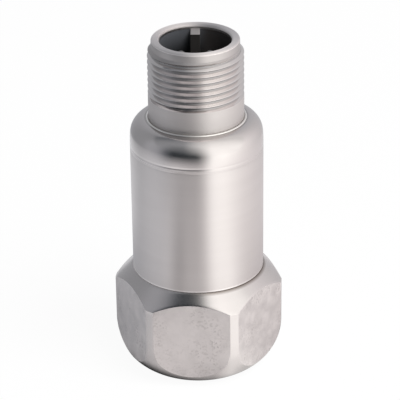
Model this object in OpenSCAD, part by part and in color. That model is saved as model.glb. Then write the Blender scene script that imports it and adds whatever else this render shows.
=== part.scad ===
// Vibration sensor: a hex base, a round body with a welded cap and a threaded two-pin connector.
// Millimetres, +Z up. The mounting face is at z = 0 and one wrench flat faces -Y.

/* [Hex base] */
// Width across the wrench flats
hex_af = 25.4; // [24.5:0.1:27]
// Diameter of the bar the base is turned from, left at the hex corners
bar_d = 28.575; // [28:0.025:30]
// Height of the hex corners above the mounting face
hex_h = 14.25; // [12:0.05:17]
// Radius of the rounded lower edge
base_edge_r = 7.62; // [6:0.01:9]
// Diameter of the flat mounting face
face_d = 21; // [18:0.1:24]

/* [Mounting hole] */
// Diameter of the tapped hole, between the thread's crests
hole_d = 5.5; // [4:0.1:7]
// Depth of the tapped hole down to its drill point
hole_depth = 8; // [5:0.1:10]
// Depth of the chamfer at the hole's mouth
hole_lead = 0.5; // [0.2:0.1:1]
// Metal left between the drill point and the cavity
floor_t = 2.4; // [1.5:0.1:4]

/* [Body] */
// Outer diameter of the round body
body_d = 22.225; // [21.5:0.025:24]
// Wall thickness of the body
body_wall = 1.8; // [1.4:0.1:2.2]
// Height of the weld seam above the mounting face
seam_h = 39.7; // [37:0.1:48]
// Width of the fine groove where the body meets the base's cone
relief_w = 0.3; // [0.2:0.05:0.6]
// Depth of that groove
relief_depth = 0.2; // [0.1:0.05:0.4]

/* [Cap] */
// Height of the cap above the seam
cap_h = 5.05; // [4.5:0.05:8]
// Radius of the cap's rounded shoulder
shoulder_r = 2.8; // [1.5:0.05:2.8]
// Wall thickness of the cap
cap_wall = 1.8; // [1.4:0.1:2.2]
// Depth of the spigot that locates the cap in the body
spigot_len = 2; // [1:0.1:4]
// Wall thickness of that spigot
spigot_wall = 0.85; // [0.6:0.05:1]
// Radius of the braze bead around the neck
bead_r = 0.22; // [0.15:0.01:0.35]

/* [Connector] */
// Outer diameter of the connector's thread
thread_d = 15.875; // [14:0.025:16.5]
// Thread pitch
thread_pitch = 1.0583; // [0.8:0.0001:1.3]
// Number of turns of thread
thread_turns = 8; // [5:1:10]
// Radial depth of the thread
thread_depth = 0.65; // [0.4:0.01:0.75]
// Height of the smooth neck under the thread
neck_h = 4; // [3:0.05:6]
// Height of the plain pilot above the thread
pilot_h = 1.385; // [0.8:0.005:2.5]
// Diameter of the connector's bore
socket_d = 11.9; // [10.5:0.05:12]
// Chamfer at the bore's rim
rim_chamfer = 0.25; // [0.1:0.05:0.4]
// Width of the key in the bore
key_w = 1.6; // [1:0.05:2.2]
// Height of the key from the bore's wall
key_t = 1.6; // [0.8:0.05:1.8]
// Distance of the key's top below the rim
key_drop = 0.75; // [0.4:0.05:2]
// Length of the key
key_len = 8; // [5:0.1:9]
// Direction of the key around the axis, from +X
key_angle = 96; // [60:1:120]
// Thickness of the glass seal
seal_t = 4.2; // [3:0.1:5]
// Distance between the two contact pins
pin_pitch = 4.75; // [4.2:0.05:5.4]
// Diameter of a contact pin
pin_d = 1.575; // [1.2:0.025:1.8]
// Distance of the pin tips below the rim
pin_drop = 2.1; // [1:0.1:4]
// Length of a pin's solder cup under the seal
cup_len = 2.2; // [1.5:0.1:3]

/* [Sensing element] */
// Wall thickness of the insulating sleeve
sleeve_wall = 0.4; // [0.3:0.05:0.6]
// Thickness of the insulating disc under the post
insulator_t = 0.8; // [0.5:0.1:1.5]
// Thickness of the post's flange
flange_t = 1.8; // [1.2:0.1:2.5]
// Diameter of the post
post_d = 5; // [4:0.1:5.6]
// Height of the crystal ring
piezo_h = 6; // [4:0.1:6.5]
// Wall thickness of the crystal ring
piezo_wall = 1.5; // [1:0.05:1.7]
// Height of the seismic mass
mass_h = 6.6; // [5:0.1:7]
// Wall thickness of the seismic mass
mass_wall = 2.5; // [2:0.05:2.7]
// Free space around the crystal and the mass
stack_gap = 0.9; // [0.6:0.05:1]
// Sheet thickness of the shield cup
shield_t = 0.35; // [0.25:0.05:0.5]

/* [Electronics] */
// Height of the board standoffs
standoff_h = 3.2; // [2.6:0.1:4]
// Diameter of a standoff
standoff_d = 2.4; // [2:0.1:2.8]
// Thickness of the circuit board
board_t = 1; // [0.8:0.1:1.6]
// Shank diameter of a board screw
screw_d = 1.2; // [1:0.1:1.4]
// Head diameter of a board screw
screw_head_d = 2.2; // [1.8:0.1:2.4]
// Head height of a board screw
screw_head_h = 0.7; // [0.5:0.1:1]
// Diameter of a lead
lead_d = 0.8; // [0.6:0.05:0.9]
// Sideways slack in the two output leads
lead_slack = 1.2; // [0.4:0.1:1.6]

/* [Hidden] */
$fn = 96;
// Running clearance between pieces that slide together
fit = 0.05;
// Extra length of a cut past the face it opens
cut = 1;

// Housing
bar_r = bar_d / 2;
body_r = body_d / 2;
cavity_r = body_r - body_wall;
edge_inset = bar_r - face_d / 2;
edge_z = sqrt(base_edge_r * base_edge_r - (base_edge_r - edge_inset) * (base_edge_r - edge_inset));
cone_top = hex_h + bar_r - body_r;
drill_half_angle = 59;
drill_tip = hole_d / 2 / tan(drill_half_angle);
floor_z = hole_depth + drill_tip + floor_t;
spigot_r = cavity_r + spigot_wall;

// Cap and connector
cap_top = seam_h + cap_h;
cap_under = cap_top - cap_wall;
cap_fillet = 1;
shell_r = thread_d / 2;
root_r = shell_r - thread_depth;
neck_top = cap_top + neck_h;
thread_top = neck_top + thread_turns * thread_pitch;
rim_z = thread_top + pilot_h;
socket_r = socket_d / 2;
spigot_step = 0.45;
shell_seat_r = root_r - spigot_step;
undercut_h = 0.35;
undercut_depth = 0.3;
undercut_r = shell_r - undercut_depth;
crest_w = thread_pitch / 8;
flank_w = thread_depth * tan(30);
seal_lift = 0.2;
seal_z = cap_under + seal_lift;
seal_top = seal_z + seal_t;
key_top = rim_z - key_drop;
key_slope = 0.4;
key_root = 0.4;
pin_r = pin_d / 2;
pin_turn = key_angle - 90;
pin_tip = rim_z - pin_drop;
collar_step = 0.35;
collar_r = pin_r + collar_step;
cup_step = 0.25;
cup_r = pin_r + cup_step;
cup_z = seal_z - cup_len;
cup_floor = 0.6;
cup_bore_depth = cup_len - cup_floor;

// Sensing element, from the cavity floor upwards
sleeve_r = cavity_r - fit;
sleeve_in = sleeve_r - sleeve_wall;
stack_clear = 0.4;
stack_r = sleeve_in - stack_clear;
flange_z = floor_z + insulator_t;
flange_top = flange_z + flange_t;
post_r = post_d / 2;
piezo_r = post_r + piezo_wall;
mass_r = piezo_r + mass_wall;
mass_z = flange_top + stack_gap;
mass_top = mass_z + mass_h;
piezo_z = mass_z + (mass_h - piezo_h) / 2;
post_stand = 0.4;
post_top = max(mass_top, piezo_z + piezo_h) + post_stand;
shield_in = stack_r - shield_t;
shield_under = post_top + stack_gap;
shield_top = shield_under + shield_t;
signal_r = (piezo_r + mass_r) / 2;
signal_angle = -30;
lead_r = lead_d / 2;
grommet_wall = 0.5;
grommet_r = lead_r + grommet_wall;
grommet_rim = 0.35;
grommet_lip = 0.3;

// Electronics, on top of the shield
board_z = shield_top + standoff_h;
board_top = board_z + board_t;
board_clear = 0.2;
board_r = sleeve_in - board_clear;
sleeve_stand = 1.5;
sleeve_top = board_top + sleeve_stand;
standoff_inset = 0.3;
standoff_ring = min(stack_r - standoff_d / 2, board_r - screw_head_d / 2) - standoff_inset;
standoff_angles = [30, 150, 270];
screw_r = screw_d / 2;
standoff_floor = 0.8;
screw_bite = standoff_h - standoff_floor;
slot_w = 0.3;
slot_depth = screw_head_h / 2;
solder_h = 0.5;
solder_flare = 0.35;
solder_r = lead_r + solder_flare;

// Chip sizes: length, width, height, then the span over its legs
chip = [4.9, 3.9, 1.5];
chip_span = 6;
chip_edge = 0.9;
chip_y = board_r - chip_edge - chip_span / 2;
chip_lift = 0.15;
leg_w = 0.4;
leg_t = 0.2;
chip_leg_pitch = 1.27;
transistor = [2.9, 1.3, 1];
transistor_span = 2.4;
transistor_edge = 1.3;
transistor_x = board_r - transistor_edge - transistor[0] / 2;
transistor_y = 0.3;
transistor_leg_x = 0.95;
transistor_legs = [[-transistor_leg_x, -1], [transistor_leg_x, -1], [0, 1]];

// Chip parts: length, width and height, and their places measured in from the board's edge
capacitor = [3.2, 1.6, 1.6];
capacitor_edge = 2;
capacitor_y = 2.7;
capacitor_x = 3.2;
capacitor_front_edge = 2.4;
capacitor_spots = [[capacitor_edge - board_r + capacitor[0] / 2, -capacitor_y],
                   [-capacitor_x, capacitor_front_edge - board_r + capacitor[1] / 2]];
resistor = [0.8, 1.6, 0.45];
resistor_pitch = 1.25;
resistor_x = 2.4;
resistor_front_edge = 3.5;
resistor_side_edge = 1.9;
resistor_y = 0.2;
resistor_spots = [for (i = [0 : 2])
    each [[resistor_x + i * resistor_pitch, resistor_front_edge - board_r],
          [resistor_side_edge + i * resistor_pitch - board_r, resistor_y]]];
end_cap_w = 0.3;
end_cap_t = 0.04;

// Half section of the housing's outside: base with its rounded lower edge, cone, relief groove and body
module housing_outline() {
    intersection() {
        polygon([[0, 0], [bar_r, 0], [bar_r, hex_h], [body_r, cone_top], [body_r - relief_depth, cone_top],
                 [body_r - relief_depth, cone_top + relief_w], [body_r, cone_top + relief_w],
                 [body_r, seam_h], [0, seam_h]]);
        union() {
            translate([0, edge_z]) square([bar_r, seam_h]);
            square([bar_r - base_edge_r, seam_h]);
            translate([bar_r - base_edge_r, edge_z]) circle(r = base_edge_r);
        }
    }
}

module tapped_hole() {
    rotate_extrude()
        polygon([[0, -cut], [hole_d / 2 + hole_lead + cut, -cut], [hole_d / 2, hole_lead],
                 [hole_d / 2, hole_depth], [0, hole_depth + drill_tip]]);
}

module housing() {
    color("silver") difference() {
        intersection() {
            rotate_extrude() housing_outline();
            cylinder(h = seam_h, r = hex_af / 2 / cos(30), $fn = 6);
        }
        tapped_hole();
        translate([0, 0, floor_z]) cylinder(h = seam_h, r = cavity_r);
        translate([0, 0, seam_h - spigot_len]) cylinder(h = spigot_len + cut, r = spigot_r);
    }
}

// Half section of a round block with its upper corner rounded
module rounded_block(r, h, corner) {
    square([r, h - corner]);
    square([r - corner, h]);
    translate([r - corner, h - corner]) circle(r = corner);
}

module top_cap() {
    color("silver") rotate_extrude() difference() {
        union() {
            translate([0, seam_h]) rounded_block(body_r, cap_h, shoulder_r);
            translate([cavity_r, seam_h - spigot_len + fit]) square([spigot_wall - fit, spigot_len]);
            translate([shell_r + bead_r, cap_top]) circle(r = bead_r);
        }
        translate([0, seam_h - spigot_len])
            rounded_block(cavity_r, cap_under - seam_h + spigot_len, cap_fillet);
        translate([0, seam_h]) square([shell_seat_r, cap_h + cut]);
    }
}

// Outer edge of one turn of thread, from its lower crest corner upwards
function thread_turn(z) =
    let (crest_z = z + thread_pitch - crest_w)
    [[shell_r, z], [root_r, z + flank_w], [root_r, crest_z - flank_w], [shell_r, crest_z]];

module connector_outline() {
    intersection() {
        polygon(concat(
            [[socket_r, cap_under], [shell_seat_r, cap_under], [shell_seat_r, cap_top],
             [undercut_r, cap_top], [undercut_r, cap_top + undercut_h], [shell_r, cap_top + undercut_h]],
            [for (i = [0 : thread_turns - 1]) each thread_turn(neck_top + i * thread_pitch)],
            [[root_r, thread_top], [root_r, rim_z], [socket_r + rim_chamfer, rim_z],
             [socket_r, rim_z - rim_chamfer]]));
        polygon([[0, 0], [shell_r + cut, 0], [shell_r + cut, thread_top - thread_depth - cut],
                 [root_r, thread_top], [root_r, rim_z], [0, rim_z]]);
    }
}

module connector_key() {
    rotate([0, 0, key_angle]) rotate([90, 0, 0]) translate([0, 0, -key_w / 2]) linear_extrude(key_w)
        polygon([[socket_r - key_t, key_top - key_len], [socket_r + key_root, key_top - key_len],
                 [socket_r + key_root, key_top], [socket_r, key_top],
                 [socket_r - key_t, key_top - key_slope]]);
}

module connector_shell() {
    color("silver") union() {
        rotate_extrude() connector_outline();
        connector_key();
    }
}

// Repeats its children at both contact pins
module at_pins() {
    for (side = [1, -1]) at_pin(side) children();
}

module at_pin(side) {
    rotate([0, 0, pin_turn]) translate([side * pin_pitch / 2, 0, 0]) children();
}

module glass_seal() {
    color("darkslategray") difference() {
        translate([0, 0, seal_z]) cylinder(h = seal_t, r = socket_r);
        at_pins() translate([0, 0, seal_z - cut]) cylinder(h = seal_t + 2 * cut, r = collar_r);
    }
}

// Round-tipped pin with a collar in the seal and a drilled solder cup at its lower end
module contact_pin() {
    rotate_extrude() difference() {
        union() {
            translate([0, cup_z]) square([pin_r, pin_tip - pin_r - cup_z]);
            translate([0, cup_z]) square([cup_r, cup_len]);
            translate([0, seal_z]) square([collar_r, seal_t]);
            intersection() {
                translate([0, pin_tip - pin_r]) circle(r = pin_r);
                translate([0, pin_tip - 2 * pin_r]) square(2 * pin_r);
            }
        }
        translate([0, cup_z - cut]) square([lead_r, cup_bore_depth + cut]);
    }
}

module contact_pin_a() {
    color("gainsboro") at_pin(1) contact_pin();
}

module contact_pin_b() {
    color("gainsboro") at_pin(-1) contact_pin();
}

module insulating_sleeve() {
    color("ivory") translate([0, 0, floor_z]) difference() {
        cylinder(h = sleeve_top - floor_z, r = sleeve_r);
        translate([0, 0, -cut]) cylinder(h = sleeve_top - floor_z + 2 * cut, r = sleeve_in);
    }
}

module base_insulator() {
    color("white") translate([0, 0, floor_z]) cylinder(h = insulator_t, r = sleeve_in - fit);
}

module sensor_post() {
    color("silver") union() {
        translate([0, 0, flange_z]) cylinder(h = flange_t, r = stack_r);
        translate([0, 0, flange_z]) cylinder(h = post_top - flange_z, r = post_r);
    }
}

module ring(z, h, r_in, r_out) {
    rotate_extrude() translate([r_in, z]) square([r_out - r_in, h]);
}

module piezo_ring() {
    color("tan") ring(piezo_z, piezo_h, post_r, piezo_r);
}

module seismic_mass() {
    color("dimgray") ring(mass_z, mass_h, piezo_r, mass_r);
}

module at_signal() {
    rotate([0, 0, signal_angle]) translate([signal_r, 0, 0]) children();
}

module shield_cup() {
    color("goldenrod") difference() {
        translate([0, 0, flange_top]) cylinder(h = shield_top - flange_top, r = stack_r);
        translate([0, 0, flange_top - cut]) cylinder(h = shield_under - flange_top + cut, r = shield_in);
        at_signal() translate([0, 0, shield_under - cut]) cylinder(h = shield_t + 2 * cut, r = grommet_r);
    }
}

// Bush snapped into the shield, with a lip on each side of the sheet
module lead_grommet() {
    color("white") at_signal() rotate_extrude()
        polygon([[lead_r, shield_under - grommet_lip], [grommet_r + grommet_rim, shield_under - grommet_lip],
                 [grommet_r + grommet_rim, shield_under], [grommet_r, shield_under], [grommet_r, shield_top],
                 [grommet_r + grommet_rim, shield_top], [grommet_r + grommet_rim, shield_top + grommet_lip],
                 [lead_r, shield_top + grommet_lip]]);
}

// Solder cone on the board around a lead
module solder(z) {
    translate([0, 0, z]) cylinder(h = solder_h, r1 = solder_r, r2 = lead_r);
}

module signal_lead() {
    color("firebrick") at_signal() union() {
        translate([0, 0, mass_top]) cylinder(h = board_top + solder_h - mass_top, r = lead_r);
        solder(board_top);
        solder(mass_top);
    }
}

module at_standoffs() {
    for (a = standoff_angles) rotate([0, 0, a]) translate([standoff_ring, 0, 0]) children();
}

module board_standoffs() {
    color("darkgoldenrod") at_standoffs() difference() {
        translate([0, 0, shield_top]) cylinder(h = standoff_h, r = standoff_d / 2);
        translate([0, 0, board_z - screw_bite - fit]) cylinder(h = screw_bite + cut, r = screw_r);
    }
}

module circuit_board() {
    color("darkgreen") difference() {
        translate([0, 0, board_z]) cylinder(h = board_t, r = board_r);
        at_standoffs() translate([0, 0, board_z - cut]) cylinder(h = board_t + 2 * cut, r = screw_r + fit);
        at_signal() translate([0, 0, board_z - cut]) cylinder(h = board_t + 2 * cut, r = lead_r);
        at_pins() translate([0, 0, board_z - cut]) cylinder(h = board_t + 2 * cut, r = lead_r);
    }
}

module board_screws() {
    color("gray") at_standoffs() difference() {
        union() {
            translate([0, 0, board_z - screw_bite]) cylinder(h = screw_bite + board_t, r = screw_r);
            translate([0, 0, board_top]) cylinder(h = screw_head_h, r = screw_head_d / 2);
        }
        translate([-screw_head_d, -slot_w / 2, board_top + screw_head_h - slot_depth])
            cube([2 * screw_head_d, slot_w, slot_depth + cut]);
    }
}

// Bent leg from the board's top into a chip's side, running along +Y from its inner end
module leg(run, rise) {
    translate([-leg_w / 2, 0, rise - leg_t / 2]) cube([leg_w, run / 2, leg_t]);
    translate([-leg_w / 2, run / 2 - leg_t, 0]) cube([leg_w, leg_t, rise + leg_t / 2]);
    translate([-leg_w / 2, run / 2 - leg_t, 0]) cube([leg_w, run / 2 + leg_t, leg_t]);
}

module amplifier_chip() {
    leg_run = (chip_span - chip[1]) / 2;
    color("#222222") translate([0, chip_y, board_top]) union() {
        translate([-chip[0] / 2, -chip[1] / 2, chip_lift]) cube(chip);
        for (i = [-1.5 : 1.5], side = [0, 180])
            rotate([0, 0, side]) translate([i * chip_leg_pitch, chip[1] / 2, 0])
                leg(leg_run, chip_lift + chip[2] / 2);
    }
}

module input_transistor() {
    leg_run = (transistor_span - transistor[1]) / 2;
    color("#333333") translate([transistor_x, transistor_y, board_top]) union() {
        translate([-transistor[0] / 2, -transistor[1] / 2, chip_lift]) cube(transistor);
        for (l = transistor_legs)
            translate([l[0], l[1] * transistor[1] / 2, 0]) mirror([0, l[1] < 0 ? 1 : 0, 0])
                leg(leg_run, chip_lift + transistor[2] / 2);
    }
}

// Chip part with a solder end cap wrapped around each end of its long side
module chip_part(size, ends_along_x) {
    run = ends_along_x ? size[0] : size[1];
    across = (ends_along_x ? size[1] : size[0]) + 2 * end_cap_t;
    translate([-size[0] / 2, -size[1] / 2, end_cap_t]) cube([size[0], size[1], size[2] - 2 * end_cap_t]);
    for (side = [0, 180]) rotate([0, 0, ends_along_x ? side : side + 90])
        translate([run / 2 - end_cap_w, -across / 2, 0]) cube([end_cap_w + end_cap_t, across, size[2]]);
}

module capacitors() {
    color("darkorange") for (p = capacitor_spots)
        translate([p[0], p[1], board_top]) chip_part(capacitor, true);
}

module resistors() {
    color("#303038") for (p = resistor_spots)
        translate([p[0], p[1], board_top]) chip_part(resistor, false);
}

// Round lead swept along its own points: straight at the board and in the solder cup, bowed between them
lead_sides = 8;
lead_steps = 14;
lead_foot = board_top + solder_h;
lead_end = cup_z + cup_bore_depth;
function bow(t) = lead_slack * (1 - cos(360 * t)) / 2;
function lead_ring(t) = [for (k = [0 : lead_sides - 1])
    [lead_r * cos(360 * k / lead_sides), bow(t) + lead_r * sin(360 * k / lead_sides),
     lead_foot + t * (cup_z - lead_foot)]];

module bowed_lead() {
    last = lead_steps * lead_sides;
    polyhedron(
        points = [for (i = [0 : lead_steps]) each lead_ring(i / lead_steps)],
        faces = concat(
            [[for (k = [0 : lead_sides - 1]) k]],
            [for (i = [0 : lead_steps - 1], k = [0 : lead_sides - 1])
                [i * lead_sides + (k + 1) % lead_sides, i * lead_sides + k,
                 (i + 1) * lead_sides + k, (i + 1) * lead_sides + (k + 1) % lead_sides]],
            [[for (k = [lead_sides - 1 : -1 : 0]) last + k]]));
}

module output_lead(side) {
    at_pin(side) {
        translate([0, 0, board_z]) cylinder(h = lead_foot - board_z, r = lead_r);
        solder(board_top);
        bowed_lead();
        translate([0, 0, cup_z]) cylinder(h = lead_end - cup_z, r = lead_r);
    }
}

module output_lead_a() {
    color("white") output_lead(1);
}

module output_lead_b() {
    color("#202020") output_lead(-1);
}

housing();
top_cap();
connector_shell();
glass_seal();
contact_pin_a();
contact_pin_b();
insulating_sleeve();
base_insulator();
sensor_post();
piezo_ring();
seismic_mass();
shield_cup();
lead_grommet();
signal_lead();
board_standoffs();
circuit_board();
board_screws();
amplifier_chip();
input_transistor();
capacitors();
resistors();
output_lead_a();
output_lead_b();
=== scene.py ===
import math

import bmesh
import bpy
from mathutils import Matrix, Vector


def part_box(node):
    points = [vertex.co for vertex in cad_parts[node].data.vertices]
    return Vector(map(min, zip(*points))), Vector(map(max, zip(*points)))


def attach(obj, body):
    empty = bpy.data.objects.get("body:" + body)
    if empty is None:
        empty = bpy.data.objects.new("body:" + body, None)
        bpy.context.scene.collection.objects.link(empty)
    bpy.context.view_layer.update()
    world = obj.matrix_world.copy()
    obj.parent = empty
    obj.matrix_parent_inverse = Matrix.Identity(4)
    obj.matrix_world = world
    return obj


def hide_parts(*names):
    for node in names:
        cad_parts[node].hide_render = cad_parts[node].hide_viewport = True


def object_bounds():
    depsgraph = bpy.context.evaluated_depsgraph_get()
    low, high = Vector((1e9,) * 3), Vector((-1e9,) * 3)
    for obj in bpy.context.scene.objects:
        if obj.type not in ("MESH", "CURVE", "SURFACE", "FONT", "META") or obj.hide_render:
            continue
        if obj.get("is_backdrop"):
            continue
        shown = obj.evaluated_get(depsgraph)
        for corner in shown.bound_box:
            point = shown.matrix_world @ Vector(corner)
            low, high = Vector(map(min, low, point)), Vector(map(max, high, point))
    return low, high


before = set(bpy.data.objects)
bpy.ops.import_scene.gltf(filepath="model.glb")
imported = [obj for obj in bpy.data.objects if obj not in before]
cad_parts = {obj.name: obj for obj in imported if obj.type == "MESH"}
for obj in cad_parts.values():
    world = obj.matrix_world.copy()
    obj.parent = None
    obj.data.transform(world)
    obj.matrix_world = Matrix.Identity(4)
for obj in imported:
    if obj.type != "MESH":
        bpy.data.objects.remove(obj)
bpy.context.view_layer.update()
scene = bpy.context.scene
scene.view_settings.view_transform = "Standard"

# Camera on a long lens, where the photograph was taken from: looking down at the front flat
# from slightly to its right, with the body leaning a little in the frame.
MM = 0.001
VIEW_AZIMUTH = math.radians(5.5)
VIEW_ELEVATION = math.radians(26.646)
VIEW_ROLL = math.radians(-0.725)
VIEW_DISTANCE = 350.1 * MM
AIM_RIGHT = 0.433 * MM
AIM_HEIGHT = 29.166 * MM
LENS = 186.72
SENSOR_WIDTH = 36
CLIP_NEAR, CLIP_FAR = 0.01, 20

right = Vector((math.cos(VIEW_AZIMUTH), math.sin(VIEW_AZIMUTH), 0))
back = Vector((math.sin(VIEW_AZIMUTH) * math.cos(VIEW_ELEVATION),
               -math.cos(VIEW_AZIMUTH) * math.cos(VIEW_ELEVATION), math.sin(VIEW_ELEVATION)))
up = back.cross(right)
rolled_right = right * math.cos(VIEW_ROLL) + up * math.sin(VIEW_ROLL)
rolled_up = up * math.cos(VIEW_ROLL) - right * math.sin(VIEW_ROLL)
camera_data = bpy.data.cameras.new("camera")
camera_data.lens = LENS
camera_data.sensor_width = SENSOR_WIDTH
camera_data.clip_start = CLIP_NEAR
camera_data.clip_end = CLIP_FAR
camera = bpy.data.objects.new("camera", camera_data)
scene.collection.objects.link(camera)
stand = right * AIM_RIGHT + Vector((0, 0, AIM_HEIGHT)) + back * VIEW_DISTANCE
facing = Matrix((rolled_right, rolled_up, back)).transposed().to_4x4()
camera.matrix_world = Matrix.Translation(stand) @ facing
scene.camera = camera


# White table and white surroundings. Seen directly or in the metal they are plain white,
# and the table keeps a faint shadow where the base stands on it.
def plug(links, value, socket):
    if isinstance(value, bpy.types.NodeSocket):
        links.new(value, socket)
    else:
        socket.default_value = value


def reckon(nodes, links, operation, *values):
    step = nodes.new("ShaderNodeMath")
    step.operation = operation
    for value, socket in zip(values, step.inputs):
        plug(links, value, socket)
    return step.outputs[0]


def seen_rays(nodes, links):
    path = nodes.new("ShaderNodeLightPath")
    seen = path.outputs["Is Camera Ray"]
    for ray in ("Is Glossy Ray", "Is Transmission Ray"):
        seen = reckon(nodes, links, "MAXIMUM", seen, path.outputs[ray])
    return seen


def link_object(name, bm, *materials):
    mesh = bpy.data.meshes.new(name)
    bm.to_mesh(mesh)
    bm.free()
    for material in materials:
        mesh.materials.append(material)
    obj = bpy.data.objects.new(name, mesh)
    scene.collection.objects.link(obj)
    return obj


TABLE_HALF = 3.0
TABLE_DROP = 0.00002
TABLE_COLOUR = (0.95, 0.95, 0.95, 1)
TABLE_GLOW = 0.95
FILL_COLOUR, FILL_LIGHT = (0.95, 0.97, 1, 1), 0.15
WHITE = (1, 1, 1, 1)
table_finish = bpy.data.materials.new("white_table")
table_finish.use_nodes = True
nodes, links = table_finish.node_tree.nodes, table_finish.node_tree.links
nodes.clear()
output = nodes.new("ShaderNodeOutputMaterial")
matt = nodes.new("ShaderNodeBsdfDiffuse")
matt.inputs["Color"].default_value = TABLE_COLOUR
glow = nodes.new("ShaderNodeEmission")
mix = nodes.new("ShaderNodeMixShader")
links.new(reckon(nodes, links, "MULTIPLY", seen_rays(nodes, links), TABLE_GLOW), mix.inputs[0])
links.new(matt.outputs[0], mix.inputs[1])
links.new(glow.outputs[0], mix.inputs[2])
links.new(mix.outputs[0], output.inputs["Surface"])
bm = bmesh.new()
bmesh.ops.create_grid(bm, x_segments=1, y_segments=1, size=TABLE_HALF,
                      matrix=Matrix.Translation((0, 0, -TABLE_DROP)))
link_object("table", bm, table_finish)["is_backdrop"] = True

world = bpy.data.worlds.new("surroundings")
world.use_nodes = True
scene.world = world
nodes, links = world.node_tree.nodes, world.node_tree.links
nodes.clear()
output = nodes.new("ShaderNodeOutputWorld")
fill = nodes.new("ShaderNodeBackground")
fill.inputs["Color"].default_value = FILL_COLOUR
fill.inputs["Strength"].default_value = FILL_LIGHT
white = nodes.new("ShaderNodeBackground")
white.inputs["Color"].default_value = WHITE
white.inputs["Strength"].default_value = 1
mix = nodes.new("ShaderNodeMixShader")
links.new(seen_rays(nodes, links), mix.inputs[0])
links.new(fill.outputs[0], mix.inputs[1])
links.new(white.outputs[0], mix.inputs[2])
links.new(mix.outputs[0], output.inputs["Surface"])


# Light tent: a cloth dome lit from its right, open at the front left where the room is dark, and a card that
# leans over the part and fades at its front edge. The table takes the cloth's light and the shades that the
# part casts on it. Only the metal sees them.
TENT_R = 0.6
TENT_STEPS = 48
RIB_ROWS = TENT_STEPS // 4
TENT_MERGE = 1e-6
TENT_LIGHT = 1.75
ROOF_SIDE, ROOF_FRONT_LEFT = 90 * MM, 30 * MM
ROOF_FRONT, ROOF_FRONT_Z = 36 * MM, 30 * MM
ROOF_BACK, ROOF_BACK_Z = -70 * MM, 189 * MM
ROOF_FADE_FROM, ROOF_FADE_TO, ROOF_FADE_SLANT = 17 * MM, 28.5 * MM, 0.16
ROOF_TURN_FROM, ROOF_TURN_TO = -7 * MM, 8 * MM
ROOF_LEFT = (0.17, 0.18, 0.20), (0.34, 0.35, 0.37), -10 * MM, 11 * MM
ROOF_RIGHT = (0.90, 0.88, 0.87), (1.42, 1.40, 1.37), 1 * MM, 20 * MM
CLOSE_FROM, CLOSE_TO = 42 * MM, 62 * MM
TABLE_NEAR, TABLE_FAR = 75 * MM, 144 * MM
FOOT_SHADE, FOOT_SHADE_LEFT, FOOT_SHADE_FROM, FOOT_SHADE_TO = 0.04, 2.5 * MM, 9.8 * MM, 14.3 * MM
RING_SHADE, RING_FROM, RING_TO = 0.76, 12 * MM, 30 * MM
# Each as its darkest level, the angle and distance of its middle, and its radius
CAST_SHADES = ((0.08, math.radians(-29), 50 * MM, 22 * MM), (0.5, math.radians(-5), 50 * MM, 17 * MM),
               (0.6, math.radians(-125), 24 * MM, 17 * MM), (0.65, math.radians(45), 12 * MM, 5 * MM))
# Colours by the angle from the camera, in degrees to the right
TENT_CLOTH = ((-180, (0.50, 0.51, 0.54)), (-130, (0.36, 0.37, 0.39)), (-102, (0.36, 0.37, 0.39)),
              (-88, (0.46, 0.47, 0.50)), (-76, (0.45, 0.46, 0.49)), (-66, (0.39, 0.40, 0.43)),
              (-52, (0.15, 0.16, 0.18)), (-41, (0.033, 0.04, 0.046)), (2, (0.033, 0.04, 0.046)),
              (15, (0.70, 0.69, 0.68)), (26, (1.54, 1.53, 1.50)), (45, (1.68, 1.66, 1.62)),
              (85, (1.20, 1.16, 1.15)), (110, (0.95, 0.91, 0.92)), (140, (0.72, 0.70, 0.71)))
NEAR_TABLE = ((-180, (0.74, 0.75, 0.78)), (-150, (0.90, 0.91, 0.94)), (-110, (0.71, 0.72, 0.75)),
              (-60, (0.94, 0.94, 0.97)), (-34, (1.22, 1.19, 1.21)), (-10, (1.04, 1.00, 1.01)),
              (9, (1.00, 0.96, 0.96)), (17, (1.38, 1.34, 1.33)), (25, (1.53, 1.50, 1.48)),
              (45, (1.38, 1.34, 1.32)), (80, (1.12, 1.07, 1.07)), (140, (0.88, 0.84, 0.85)))
CLOSE_TABLE = ((-180, (0.44, 0.44, 0.47)), (-140, (0.43, 0.44, 0.47)), (-105, (0.50, 0.51, 0.54)),
               (-60, (0.65, 0.65, 0.67)), (-25, (1.01, 0.97, 0.97)), (12, (0.80, 0.77, 0.77)),
               (20, (1.12, 1.08, 1.07)), (28, (1.38, 1.35, 1.33)), (52, (1.42, 1.39, 1.37)),
               (67, (1.04, 1.00, 1.00)), (85, (0.81, 0.77, 0.77)), (140, (0.68, 0.64, 0.65)))


def lit(colour):
    return tuple(c / TENT_LIGHT for c in colour)


def colour_around(nodes, links, colours):
    place = nodes.new("ShaderNodeTexCoord")
    turn = nodes.new("ShaderNodeMapping")
    turn.inputs["Rotation"].default_value = (0, 0, math.pi / 2 - VIEW_AZIMUTH)
    around = nodes.new("ShaderNodeTexGradient")
    around.gradient_type = "RADIAL"
    ramp = nodes.new("ShaderNodeValToRGB")
    stops = ramp.color_ramp.elements
    for angle, colour in colours[1:]:
        stops.new(angle / 360 + 0.5).color = (*lit(colour), 1)
    stops[0].color = stops[-1].color = (*lit(colours[0][1]), 1)
    links.new(place.outputs["Object"], turn.inputs["Vector"])
    links.new(turn.outputs[0], around.inputs["Vector"])
    links.new(around.outputs["Fac"], ramp.inputs["Fac"])
    return ramp.outputs["Color"]


def glowing(name):
    material = bpy.data.materials.new(name)
    material.use_nodes = True
    nodes, links = material.node_tree.nodes, material.node_tree.links
    nodes.clear()
    emit = nodes.new("ShaderNodeEmission")
    emit.inputs["Strength"].default_value = TENT_LIGHT
    output = nodes.new("ShaderNodeOutputMaterial")
    links.new(emit.outputs[0], output.inputs["Surface"])
    material.cycles.emission_sampling = "NONE"
    return material, emit


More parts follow.
